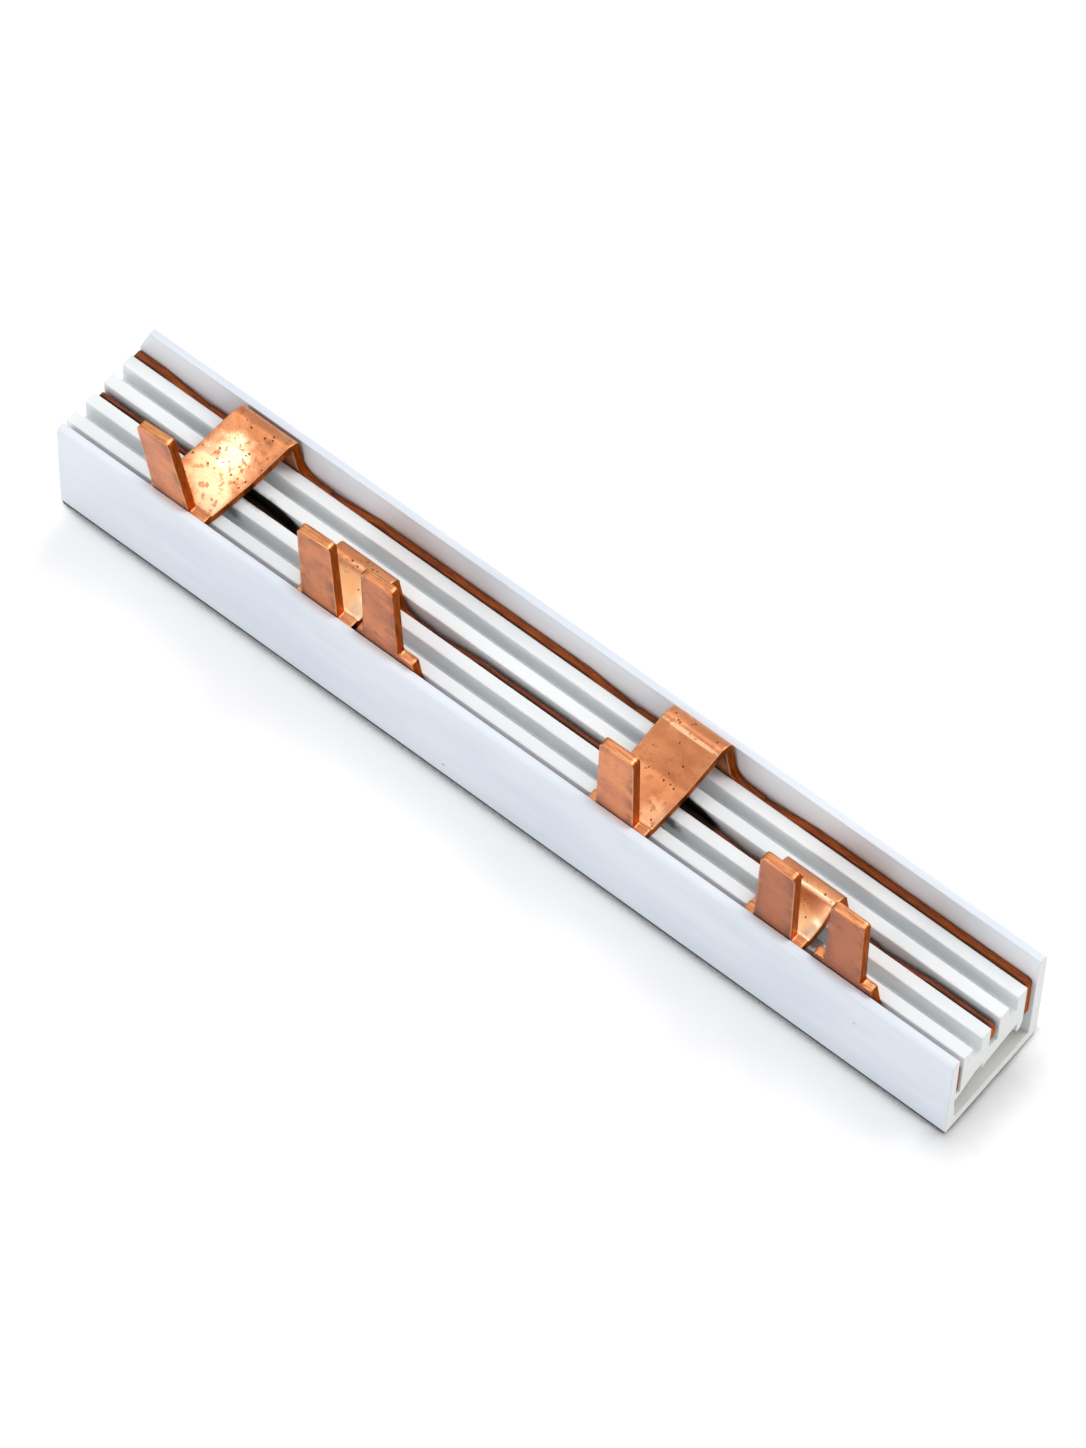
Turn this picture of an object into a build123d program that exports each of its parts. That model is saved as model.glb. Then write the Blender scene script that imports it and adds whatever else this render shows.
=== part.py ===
from build123d import *
import os
from dataclasses import dataclass
from math import atan2, cos, degrees, radians, sin, tan

# A three-phase busbar for a row of modular breakers: a white PVC channel, a comb-shaped PVC
# insert that keeps the phases apart, and three stamped copper bars, each with two tongues.
# X runs along the bar, Y from the front wall to the back wall, Z up. All sizes are in mm.
# X starts at the left end of the insert, which sticks out of the channel a little, and Y at the
# channel's front face. The pieces are moved to the middle of the whole at the end.

# Channel
MODULE_WIDTH = 17.93
MODULE_COUNT = 6
DEPTH = 14.0
FRONT_HEIGHT = 13.0
BACK_HEIGHT = 14.75
FRONT_WALL = 1.0
BACK_WALL = 1.3
FLOOR = 1.4
WALL_DRAFT = 0.3
SLIDE = 0.6
CUT_SKEW = 0.45
CHIP = 0.3
CORNER_CUT = 1.0
CORNER_DROP = 2.9
LIP_THINNING = 0.25
LIP_HEIGHT = 2.6
LIP_RADIUS = 0.7
FRONT_EDGE_RADIUS = 0.4
BACK_EDGE_RADIUS = 0.7
INNER_RADIUS = 0.3

# Clearances
FIT = 0.05
BACK_FIT = 0.1

# Copper strip
COPPER = 1.0
BEND_INNER_RADIUS = 0.25

# Comb insert
INSERT_SETBACK = 0.2
INSERT_BASE = 4.4
RIB_TOP = 11.6
GROOVE_WIDTH = 1.34
SLOT_PLAY = 0.34
RIB_EDGE = 0.15
GROOVE_DEPTH = 2.5
GROOVE_FALL = 0.7
SLOT_DEPTH = 4.1
FOOT_WIDTH = 0.75
LEDGE = 0.8
HAUNCH_WIDTH = 2.2
HAUNCH_RISE = 1.35
TOOTH_WIDTH = 0.55
TOOTH_DROP = 1.0
MIDDLE_TOOTH = 3.45
REAR_TOOTH = 0.9
UNDERSIDE_RISE = 0.65

# Copper bars
BAR_SETBACK = 0.4
BAR_END_RADIUS = 0.5
L1_HEIGHT = 6.4
L1_TOP = 11.4
L2_LIFT = 0.6
L2_HEIGHT = 2.5
L3_HEIGHT = 4.8
NECK_DEPTH = 0.7
NECK_HALF_LENGTH = 7.5
NECK_STEP = 0.3
NECK_RUN = 6.0

# Taps and tongues
TAP_WIDTH = 6.7
STEM_TAPER = 12.0
FLARE_RADIUS = 2.2
L1_KNEE = 0.54
L2_KNEE = 0.61
KNEE_RADIUS = 3.0
SHOULDER_TOP = 14.0
SHOULDER_RADIUS = 0.4
TONGUE_TOP = 24.1
TONGUE_ROOT_WIDTH = 4.35
TONGUE_TIP_WIDTH = 3.95
TONGUE_TIP_RADIUS = 0.55


@dataclass(frozen=True)
class Tap:
    """One tap: where it leaves its bar, where its tongue stands, and how it was bent.

    station is its place along the row in modules. tongue, root and web are how far the middle
    of the tongue's foot, of the tap's front edge and of its stem lie to the right of that.
    crest and knee are the heights above the ribs at which the strip's straight runs would
    meet. These five are in thicknesses of the strip. lean and pitch are the tongue's angles in
    degrees, towards the left end and towards the front.
    """

    station: float
    tongue: float
    root: float
    web: float
    lean: float
    pitch: float = 0.0
    crest: float = 0.0
    knee: float = 0.0

    def x(self, offset: float) -> float:
        """Where one of the tap's offsets lies along the row."""
        return self.station * MODULE_WIDTH + offset * COPPER


L1_TAPS = (Tap(0.8, -0.4, 0.25, 2.4, 6.6, 4.4, 4.1, 1.7), Tap(3.8, -0.75, -0.55, 0.65, 0.5, 0.0, 4.9, 2.0))
L2_TAPS = (Tap(1.8, -0.2, 0.25, 1.15, 3.4, 0.0, 4.75, 1.4), Tap(4.8, -0.2, -0.15, 0.35, -0.5, 0.0, 4.75, 1.4))
L3_TAPS = (Tap(2.2, 0.05, 0.55, 0.55, 2.9), Tap(5.2, 0.65, 0.75, 0.75, -0.3))

# Places that follow from the sizes above
LENGTH = MODULE_COUNT * MODULE_WIDTH
TONGUE_FRONT = FRONT_WALL + FIT
INSERT_FRONT = TONGUE_FRONT + COPPER
L1_FRONT = DEPTH - BACK_WALL - BACK_FIT - COPPER
SLOT_WIDTH = COPPER + SLOT_PLAY
RIB_WIDTH = (L1_FRONT - INSERT_FRONT - SLOT_WIDTH - 2 * GROOVE_WIDTH) / 4
SLOT_FRONT = INSERT_FRONT + 2 * RIB_WIDTH + GROOVE_WIDTH
RIB_FRONTS = (
    INSERT_FRONT,
    SLOT_FRONT - RIB_WIDTH,
    SLOT_FRONT + SLOT_WIDTH,
    L1_FRONT - RIB_WIDTH,
)
SLOT_FLOOR = RIB_TOP - SLOT_DEPTH
L2_FRONT = SLOT_FRONT
L2_BOTTOM = SLOT_FLOOR + L2_LIFT
LEDGE_TOP = INSERT_BASE + LEDGE
BEND_RADIUS = BEND_INNER_RADIUS + COPPER / 2
FOLD_HEIGHT = RIB_TOP + BEND_INNER_RADIUS + COPPER
CUT_MARGIN = 5.0


def along(section: Sketch, start: float, end: float) -> Part:
    """Runs a section, drawn as (Y, Z), along X from start to end."""
    return Pos(start, 0, 0) * extrude(Plane.YZ * section, amount=end - start)


def upright(outline: Sketch, front: float, thickness: float) -> Part:
    """Gives an outline, drawn as (X, Z), its thickness in Y behind front."""
    return Pos(0, front + thickness, 0) * extrude(Plane.XZ * outline, amount=thickness)


def corners(sketch: Sketch, points: list[tuple[float, float]]) -> list[Vertex]:
    """Finds the sketch's vertices at the given points."""
    return [sketch.vertices().sort_by_distance(Vector(*point))[0] for point in points]


def channel() -> Part:
    """The outer PVC extrusion, open at its top and both ends, its back wall the taller one.

    Its left end is sawn slightly out of square, with the top corner of the back wall cut away,
    and the insert sticks out there by SLIDE.
    """
    back_face = DEPTH - BACK_WALL
    front_outer = (0, FRONT_HEIGHT)
    back_outer = (DEPTH, BACK_HEIGHT)
    inner_front = (FRONT_WALL + WALL_DRAFT, FLOOR)
    inner_back = (back_face, FLOOR)
    section = make_face(
        Polyline(
            (0, 0),
            (DEPTH, 0),
            back_outer,
            (back_face + LIP_THINNING, BACK_HEIGHT),
            (back_face, BACK_HEIGHT - LIP_HEIGHT),
            inner_back,
            inner_front,
            (FRONT_WALL, INSERT_BASE),
            (FRONT_WALL, FRONT_HEIGHT),
            front_outer,
            close=True,
        )
    )
    lips = min(LIP_RADIUS, 0.8 * FRONT_WALL, 0.8 * (BACK_WALL - LIP_THINNING))
    section = fillet(corners(section, [front_outer, back_outer]), lips)
    section = fillet(corners(section, [(0, 0)]), FRONT_EDGE_RADIUS)
    section = fillet(corners(section, [(DEPTH, 0)]), BACK_EDGE_RADIUS)
    section = fillet(corners(section, [inner_front, inner_back]), INNER_RADIUS)
    body = along(section, 0, LENGTH)
    sawn_off = make_face(
        Polyline(
            (-SLIDE, -DEPTH),
            (SLIDE, -DEPTH),
            (SLIDE, 0),
            (SLIDE - CUT_SKEW, back_face),
            (SLIDE + CHIP, DEPTH),
            (SLIDE + CHIP, 2 * DEPTH),
            (-SLIDE, 2 * DEPTH),
            close=True,
        )
    )
    body = body - extrude(sawn_off, amount=2 * BACK_HEIGHT)
    corner = SLIDE - CUT_SKEW
    cut = make_face(
        Polyline(
            (corner - SLIDE, BACK_HEIGHT - CORNER_DROP),
            (corner, BACK_HEIGHT - CORNER_DROP),
            (corner + CORNER_CUT, BACK_HEIGHT),
            (corner + CORNER_CUT, 2 * BACK_HEIGHT),
            (corner - SLIDE, 2 * BACK_HEIGHT),
            close=True,
        )
    )
    return body - upright(cut, DEPTH / 2, DEPTH)


def comb_insert() -> Part:
    """The inner PVC extrusion: four ribs on a thick web, with a foot and two teeth below."""
    groove = RIB_TOP - GROOVE_DEPTH
    floors = ((groove - GROOVE_FALL, groove), (SLOT_FLOOR, SLOT_FLOOR), (groove - GROOVE_FALL, groove))
    top = [(RIB_FRONTS[0], RIB_TOP)]
    for front, following, (near, far) in zip(RIB_FRONTS, RIB_FRONTS[1:], floors):
        back = front + RIB_WIDTH
        top += [(back, RIB_TOP), (back, near), (following, far), (following, RIB_TOP)]
    top.append((L1_FRONT, RIB_TOP))
    haunch = INSERT_BASE + HAUNCH_RISE
    heel = INSERT_BASE + LEDGE
    middle = INSERT_FRONT + MIDDLE_TOOTH
    rear = L1_FRONT - REAR_TOOTH
    underside = [
        (L1_FRONT, heel),
        (rear + TOOTH_WIDTH, heel - TOOTH_DROP),
        (rear, heel - TOOTH_DROP),
        (rear, heel + UNDERSIDE_RISE),
        (middle + TOOTH_WIDTH, heel),
        (middle, heel - TOOTH_DROP / 2),
        (middle, haunch),
        (INSERT_FRONT + HAUNCH_WIDTH, haunch),
        (FRONT_WALL + FOOT_WIDTH, INSERT_BASE),
        (FRONT_WALL, INSERT_BASE),
        (FRONT_WALL, LEDGE_TOP),
        (INSERT_FRONT, LEDGE_TOP),
    ]
    section = make_face(Polyline(*top, *underside, close=True))
    rib_corners = [point for point in top if point[1] == RIB_TOP]
    section = fillet(corners(section, rib_corners), RIB_EDGE)
    return along(section, 0, LENGTH - INSERT_SETBACK)


def bar_outline(bottom: float, top: float) -> Sketch:
    """The plain strip of a bar as (X, Z), with its end corners rounded."""
    end = LENGTH - BAR_SETBACK
    outline = make_face(Polyline((0, bottom), (end, bottom), (end, top), (0, top), close=True))
    return fillet(outline.vertices(), BAR_END_RADIUS)


def necked(bar: Sketch, taps: tuple[Tap, ...], top: float) -> Sketch:
    """Takes away what was sheared off a bar's top edge on both sides of each tap."""
    neck = top - NECK_DEPTH
    low = neck - NECK_STEP
    half = NECK_HALF_LENGTH
    far = half + NECK_RUN
    for tap in taps:
        web = tap.x(tap.web)
        bar = bar - make_face(
            Polyline(
                (web - far, top + COPPER),
                (web - far, top),
                (web - half, low),
                (web - half, neck),
                (web + half, neck),
                (web + half, low),
                (web + far, top),
                (web + far, top + COPPER),
                close=True,
            )
        )
    return bar


def with_stem(bar: Sketch, tap: Tap, bar_top: float, height: float) -> Sketch:
    """Adds a tap's tapered stem to a bar's outline, flared where it leaves the bar."""
    half = TAP_WIDTH / 2
    taper = tan(radians(STEM_TAPER))
    low = bar_top - BAR_END_RADIUS
    wide = half + taper * (height - low)
    foot = half + taper * (height - bar_top)
    middle = tap.x(tap.web)
    stem = make_face(
        Polyline((middle - wide, low), (middle + wide, low), (middle + half, height), (middle - half, height), close=True)
    )
    feet = [(middle - foot, bar_top), (middle + foot, bar_top)]
    return fillet(corners(bar + stem, feet), min(FLARE_RADIUS, 0.8 * (height - bar_top)))


def tongue_outline(tap: Tap) -> Part:
    """A prism that cuts a strip to the tapered tongue, its tip corners rounded."""
    half_root = TONGUE_ROOT_WIDTH / 2
    half_tip = TONGUE_TIP_WIDTH / 2
    height = TONGUE_TOP - FOLD_HEIGHT
    tip = [(-half_tip, height), (half_tip, height)]
    outline = make_face(
        Polyline(
            (-half_root, -COPPER),
            (half_root, -COPPER),
            (half_root, 0),
            *reversed(tip),
            (-half_root, 0),
            close=True,
        )
    )
    outline = fillet(corners(outline, tip), TONGUE_TIP_RADIUS)
    foot = tap.x(tap.tongue)
    return Pos(foot, 0, FOLD_HEIGHT) * Rot(0, -tap.lean, 0) * upright(outline, -CUT_MARGIN, 2 * CUT_MARGIN)


def thickened(path: list[tuple[float, float]], radii: list[float]) -> Sketch:
    """A strip of the copper's thickness along a path, each of its bends rounded about one centre."""
    half = COPPER / 2
    points = [Vector(*point) for point in path]
    directions = [(after - before).normalized() for before, after in zip(points, points[1:])]
    normals = [Vector(-direction.Y, direction.X) for direction in directions]
    sides = [points[0] + normals[0] * half], [points[0] - normals[0] * half]
    bends = []
    for point, first, second, turn, radius in zip(points[1:], normals, normals[1:], directions, radii):
        mitre = (first + second) * (half / (1 + first.dot(second)))
        inner = 1 if turn.dot(second) < 0 else -1
        sides[0].append(point + mitre)
        sides[1].append(point - mitre)
        bends.append((sides[0][-1], radius - inner * half))
        bends.append((sides[1][-1], radius + inner * half))
    sides[0].append(points[-1] + normals[-1] * half)
    sides[1].append(points[-1] - normals[-1] * half)
    strip = make_face(Polyline(*sides[0], *reversed(sides[1]), close=True))
    for corner, radius in bends:
        strip = fillet(corners(strip, [(corner.X, corner.Y)]), radius)
    return strip


def slope_of(rise: float, run: float) -> float:
    """The angle of a slope in degrees."""
    return degrees(atan2(rise, run))


def knee_of(tap: Tap, bar_front: float, share: float) -> tuple[float, float]:
    """Where the arch changes its slope as (Y, Z), share of the way from the bar to the fold."""
    bar_middle = bar_front + COPPER / 2
    fold = TONGUE_FRONT + COPPER / 2 + BEND_RADIUS
    return bar_middle - share * (bar_middle - fold), RIB_TOP + tap.knee * COPPER


def crest_of(tap: Tap) -> float:
    """The height at which the stem and the arch would meet."""
    return RIB_TOP + tap.crest * COPPER


def stem_height(tap: Tap, bar_front: float, share: float) -> float:
    """Where a tap's flat stem ends and its first bend begins."""
    knee = knee_of(tap, bar_front, share)
    slope = slope_of(crest_of(tap) - knee[1], bar_front + COPPER / 2 - knee[0])
    return crest_of(tap) - BEND_RADIUS * tan(radians((90 + slope) / 2))


def strip_section(tap: Tap, bar_front: float, share: float) -> Sketch:
    """The folded strip as (Y, Z): up from the stem, over the ribs, down to the fold and up again.

    The fold's underside rests on the first rib, and its front face lines up with the flat
    tongues of the front bar.
    """
    bar_middle = bar_front + COPPER / 2
    knee = knee_of(tap, bar_front, share)
    centre = Vector(TONGUE_FRONT + COPPER / 2 + BEND_RADIUS, FOLD_HEIGHT)
    slope = radians(slope_of(knee[1] - RIB_TOP - COPPER / 2, knee[0] - centre.X))
    turn = radians(90 - tap.pitch) + slope
    along_slope = Vector(-cos(slope), -sin(slope))
    fold = centre + Vector(sin(slope), -cos(slope)) * BEND_RADIUS + along_slope * (BEND_RADIUS * tan(turn / 2))
    rise = TONGUE_TOP + CUT_MARGIN - fold.Y
    path = [
        (bar_middle, stem_height(tap, bar_front, share) - COPPER),
        (bar_middle, crest_of(tap)),
        knee,
        (fold.X, fold.Y),
        (fold.X - rise * tan(radians(tap.pitch)), fold.Y + rise),
    ]
    return thickened(path, [BEND_RADIUS, KNEE_RADIUS, BEND_RADIUS])


def folded_tap(tap: Tap, bar_front: float, share: float) -> Part:
    """One tap of a bar that lies behind the tongues' line."""
    half = TAP_WIDTH / 2
    web = tap.x(tap.web)
    root = tap.x(tap.root)
    strip = along(strip_section(tap, bar_front, share), root - 2 * TAP_WIDTH, root + 2 * TAP_WIDTH)
    back = bar_front + COPPER + CUT_MARGIN
    plan = make_face(
        Polyline(
            (web - half, back),
            (web - half, bar_front),
            (root - half, INSERT_FRONT),
            (root - half, 0),
            (root + half, 0),
            (root + half, INSERT_FRONT),
            (web + half, bar_front),
            (web + half, back),
            close=True,
        )
    )
    plate = strip & extrude(plan, amount=TONGUE_TOP + CUT_MARGIN)
    above_fold = Pos(root, 0, FOLD_HEIGHT) * Box(
        2 * TAP_WIDTH,
        2 * (INSERT_FRONT + BEND_INNER_RADIUS),
        2 * TONGUE_TOP,
        align=(Align.CENTER, Align.CENTER, Align.MIN),
    )
    return (plate - above_fold) + (strip & tongue_outline(tap))


def folded_bar(front: float, bottom: float, top: float, taps: tuple[Tap, ...], share: float) -> Part:
    """A bar whose taps arch forward over the ribs."""
    outline = necked(bar_outline(bottom, top), taps, top)
    for tap in taps:
        outline = with_stem(outline, tap, top - NECK_DEPTH, stem_height(tap, front, share))
    bar = upright(outline, front, COPPER)
    for tap in taps:
        bar = bar + folded_tap(tap, front, share)
    return bar


def flat_bar(front: float, bottom: float, top: float, taps: tuple[Tap, ...]) -> Part:
    """The front bar, stamped flat: its tongues stand straight up between two shoulders."""
    outline = bar_outline(bottom, top)
    half = TAP_WIDTH / 2
    for tap in taps:
        outline = with_stem(outline, tap, top, SHOULDER_TOP)
        shoulders = [(tap.x(tap.web) - half, SHOULDER_TOP), (tap.x(tap.web) + half, SHOULDER_TOP)]
        outline = fillet(corners(outline, shoulders), SHOULDER_RADIUS)
    bar = upright(outline, front, COPPER)
    blank = Pos(0, front, bottom) * Box(LENGTH, COPPER, TONGUE_TOP + CUT_MARGIN, align=Align.MIN)
    for tap in taps:
        bar = bar + (blank & tongue_outline(tap))
    return bar


def busbar() -> dict[str, Part]:
    """Every piece by its node's name."""
    return {
        "channel": channel(),
        "comb_insert": comb_insert(),
        "phase_bar_l1": folded_bar(L1_FRONT, L1_TOP - L1_HEIGHT, L1_TOP, L1_TAPS, L1_KNEE),
        "phase_bar_l2": folded_bar(L2_FRONT, L2_BOTTOM, L2_BOTTOM + L2_HEIGHT, L2_TAPS, L2_KNEE),
        "phase_bar_l3": flat_bar(TONGUE_FRONT, LEDGE_TOP, LEDGE_TOP + L3_HEIGHT, L3_TAPS),
    }


os.makedirs("parts", exist_ok=True)
for name, piece in busbar().items():
    export_step(Pos(-LENGTH / 2, -DEPTH / 2, 0) * piece, f"parts/{name}.step")
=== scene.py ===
"""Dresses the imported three-phase busbar and sets its floor, lights and camera."""

import logging
from dataclasses import dataclass
from enum import Enum
from math import radians

import bpy
from mathutils import Matrix, Vector


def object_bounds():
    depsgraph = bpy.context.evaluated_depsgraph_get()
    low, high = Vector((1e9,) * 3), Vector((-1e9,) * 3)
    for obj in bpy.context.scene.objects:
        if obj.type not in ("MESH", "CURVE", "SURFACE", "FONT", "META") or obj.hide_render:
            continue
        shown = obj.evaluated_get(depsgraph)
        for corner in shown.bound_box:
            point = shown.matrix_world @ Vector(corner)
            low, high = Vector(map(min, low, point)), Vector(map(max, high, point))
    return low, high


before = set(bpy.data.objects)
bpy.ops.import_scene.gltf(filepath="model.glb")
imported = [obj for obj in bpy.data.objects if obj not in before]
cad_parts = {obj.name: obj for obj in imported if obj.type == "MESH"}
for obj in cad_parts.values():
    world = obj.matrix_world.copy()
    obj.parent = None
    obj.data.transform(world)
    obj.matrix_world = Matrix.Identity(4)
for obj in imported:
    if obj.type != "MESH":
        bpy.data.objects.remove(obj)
CAD_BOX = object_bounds()

MM = 0.001
LOG = logging.getLogger("busbar")

PVC_IOR = 1.53
NOOK_SAMPLES = 8
EDGE_SAMPLES = 4
ROUND_SAMPLES = 6
EDGE_COSINES = (0.98, 0.8)
BLACK = (0.0, 0.0, 0.0, 1.0)
WHITE = (1.0, 1.0, 1.0, 1.0)

Socket = bpy.types.NodeSocket


class Tone(Enum):
    """The colours of the finishes as they look in plain light; some, marked below, are painted shade or
    painted light.
    """

    CHANNEL_WHITE = "#E4EAF2"
    CHANNEL_GREY = "#DAE1EB"
    INSERT_WHITE = "#EFF2F3"
    INSERT_GREY = "#E5E9EB"
    # Whiter copy of the channel's colours for its rear wall's inner face: painted light.
    REAR_WALL_PAINTED_LIGHT_WHITE = "#F1F5F9"
    REAR_WALL_PAINTED_LIGHT_GREY = "#E9EEF4"
    # Darker copy of the channel's colours for its floor inside: painted shade.
    FLOOR_PAINTED_SHADE_WHITE = "#DCD9D5"
    FLOOR_PAINTED_SHADE_GREY = "#D0CDC8"
    SAWN_WHITE = "#ECECEA"
    HANDLED_EDGE = "#D9CFC6"
    DUST = "#5E5A58"
    COPPER_ORANGE = "#E08D59"
    COPPER_ROSE = "#CA7A51"
    COPPER_DUSKY = "#D48150"
    COPPER_DUSKY_DULL = "#B76D46"
    # Darker copper for the two pins near the right end.
    COPPER_DARKER_PIN = "#A45C3C"
    COPPER_BROWN = "#6E2E10"
    COPPER_SHEARED = "#B2551E"
    # Light copper for scratches, and for edges as burnish and painted highlight.
    COPPER_BURNISH_AND_HIGHLIGHT = "#F6B98C"
    # The next two are painted highlight tones for the spots; the first is partly real polish.
    COPPER_POLISH_AND_HIGHLIGHT = "#F7C096"
    COPPER_LIT = "#FFE0BC"
    # Less saturated copper for the sloping plates and tongue backs, painted sheen; the dull one is also the
    # flecks' colour.
    COPPER_PLATE = "#CF8A5E"
    COPPER_PLATE_DULL = "#BC784E"
    # Lighter copy of the sheared colours for upward cut faces: painted light on the tops.
    COPPER_TIP = "#E09A6A"
    COPPER_TIP_DARK = "#B66E46"
    BAR_EDGE = "#A5562A"
    BAR_EDGE_DARK = "#6A3520"
    # Darker copy of the bar-edge colours for L2's top edge deep in its slot: painted shade.
    DEEP_EDGE_PAINTED_SHADE = "#96513A"
    DEEP_EDGE_PAINTED_SHADE_DARK = "#5E3123"
    # Near-black painted shade, for gaps, slots and the places under and beside the taps.
    PAINTED_SHADE = "#120A08"
    COPPER_GRAZING = "#FFD8B8"
    TARNISH = "#724230"
    PIT = "#4A2A20"
    FLOOR = "#F2F2F3"

    @property
    def linear(self) -> tuple[float, float, float, float]:
        """The colour as a shader reads it.

        Returns:
            Linear red, green, blue and a full alpha.
        """
        parts = [int(self.value[i : i + 2], 16) / 255 for i in (1, 3, 5)]
        red, green, blue = (p / 12.92 if p <= 0.04045 else ((p + 0.055) / 1.055) ** 2.4 for p in parts)
        return (red, green, blue, 1.0)


class Skin(Enum):
    """Which of its piece's finishes a face gets; each value is that finish's place in the piece's list.

    PLAIN is the piece's own surface and CUT its sawn or sheared faces. DEEP is what lies low
    inside: the channel's floor, which gets a darker copy as painted shade, or a bar's top edge
    between the ribs, darker on L2 as painted shade. INNER is what faces inwards: the channel's
    rear wall, which gets a whiter copy as painted light, or the sloping plates and the tongues'
    backs, which get a less saturated copper as painted sheen. TIP is the sheared end of a tongue
    or a shoulder, facing up, which gets a lighter copy as painted light.
    """

    PLAIN = 0
    CUT = 1
    DEEP = 2
    INNER = 3
    TIP = 4


class Bench:
    """Builds one material's node tree, in millimetres of the object's own frame."""

    def __init__(self, name: str) -> None:
        """Makes the material and its shader.

        Args:
            name: The material's name.
        """
        self.material = bpy.data.materials.new(name)
        self.material.use_nodes = True
        tree = self.material.node_tree
        self.nodes = tree.nodes
        self.links = tree.links
        self.nodes.clear()
        self.shader = self.add("BsdfPrincipled")
        output = self.add("OutputMaterial")
        self.links.new(self.shader.outputs[0], output.inputs["Surface"])
        self.place = self.add("TexCoord").outputs["Object"]

    def add(self, kind: str, settings: dict[str, object] | None = None, **inputs: object) -> bpy.types.Node:
        """Adds a node.

        Args:
            kind: The node's type, without its "ShaderNode".
            settings: Values of the node's own properties.
            **inputs: Values of or links to its sockets, with _ for a space in their names.

        Returns:
            The node.
        """
        node = self.nodes.new("ShaderNode" + kind)
        for key, value in (settings or {}).items():
            setattr(node, key, value)
        for key, value in inputs.items():
            self.set(node.inputs[key.replace("_", " ")], value)
        return node

    def set(self, socket: Socket, value: object) -> None:
        """Links a socket to value, or gives it that value where value isn't a socket.

        Args:
            socket: The socket.
            value: What it gets.
        """
        if isinstance(value, bpy.types.NodeSocket):
            self.links.new(value, socket)
        else:
            socket.default_value = value

    def grid(self, scale: tuple[float, float, float], turn: tuple[float, float, float] = (0, 0, 0)) -> Socket:
        """Coordinates for a texture.

        Args:
            scale: How many texture units one millimetre is, along each axis.
            turn: The angles in degrees by which the pattern is turned.

        Returns:
            The coordinates' socket.
        """
        turned = self.add("Mapping", Vector=self.place, Rotation=[radians(a) for a in turn])
        size = [s / MM for s in scale]
        return self.add("Mapping", Vector=turned.outputs[0], Scale=size).outputs[0]

    def noise(self, grid: Socket, detail: float = 3.0, rough: float = 0.55, wander: float = 0.0) -> Socket:
        """Cloudy noise from 0 to 1 on the given coordinates."""
        made = self.add("TexNoise", Vector=grid, Scale=1.0, Detail=detail, Roughness=rough, Distortion=wander)
        return made.outputs[0]

    def cells(self, grid: Socket) -> tuple[Socket, Socket]:
        """Scattered points on the coordinates: the distance to the nearest, and its chance value."""
        made = self.add("TexVoronoi", Vector=grid, Scale=1.0)
        return made.outputs["Distance"], self.add("SeparateColor", Color=made.outputs["Color"]).outputs[0]

    def step(self, value: Socket, start: float, end: float) -> Socket:
        """A smooth step.

        Args:
            value: What is stepped.
            start: The value at which the step is 0.
            end: The value at which it is 1, which may be lower than start.

        Returns:
            The step, from 0 to 1.
        """
        kinds = {"interpolation_type": "SMOOTHSTEP"}
        low, high = min(start, end), max(start, end)
        spans = {"From_Min": low, "From_Max": high}
        if end > start:
            return self.add("MapRange", kinds, Value=value, To_Min=0.0, To_Max=1.0, **spans).outputs[0]
        return self.add("MapRange", kinds, Value=value, To_Min=1.0, To_Max=0.0, **spans).outputs[0]

    def math(self, operation: str, first: object, second: object) -> Socket:
        """Does a sum.

        Args:
            operation: The sum's name.
            first: The first value or socket.
            second: The second, which some sums ignore.

        Returns:
            The result.
        """
        node = self.add("Math", {"operation": operation})
        self.set(node.inputs[0], first)
        self.set(node.inputs[1], second)
        return node.outputs[0]

    def blend(self, share: object, first: object, second: object) -> Socket:
        """Mixes two colours.

        Args:
            share: How far from first to second, from 0 to 1.
            first: The first colour.
            second: The second colour.

        Returns:
            The colour in between.
        """
        node = self.add("Mix", {"data_type": "RGBA"})
        for index, value in ((0, share), (6, first), (7, second)):
            self.set(node.inputs[index], value)
        return node.outputs[2]

    def level(self, share: Socket, low: float, high: float) -> Socket:
        """A number from low to high as share goes from 0 to 1."""
        return self.add("MapRange", Value=share, To_Min=low, To_Max=high).outputs[0]

    def nook(self, reach: float) -> Socket:
        """How open a place is, from 0 in a tight gap to 1, as seen from within reach millimetres."""
        return self.add("AmbientOcclusion", {"samples": NOOK_SAMPLES}, Distance=reach * MM).outputs["AO"]

    def edges(self, reach: float) -> Socket:
        """How near an outside or inside corner a place is.

        Args:
            reach: How far from the corner that counts, in millimetres.

        Returns:
            The nearness, from 0 to 1.
        """
        soft = self.add("Bevel", {"samples": EDGE_SAMPLES}, Radius=reach * MM).outputs[0]
        plain = self.add("NewGeometry").outputs["Normal"]
        dot = self.add("VectorMath", {"operation": "DOT_PRODUCT"})
        self.links.new(soft, dot.inputs[0])
        self.links.new(plain, dot.inputs[1])
        return self.step(dot.outputs["Value"], *EDGE_COSINES)

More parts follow.
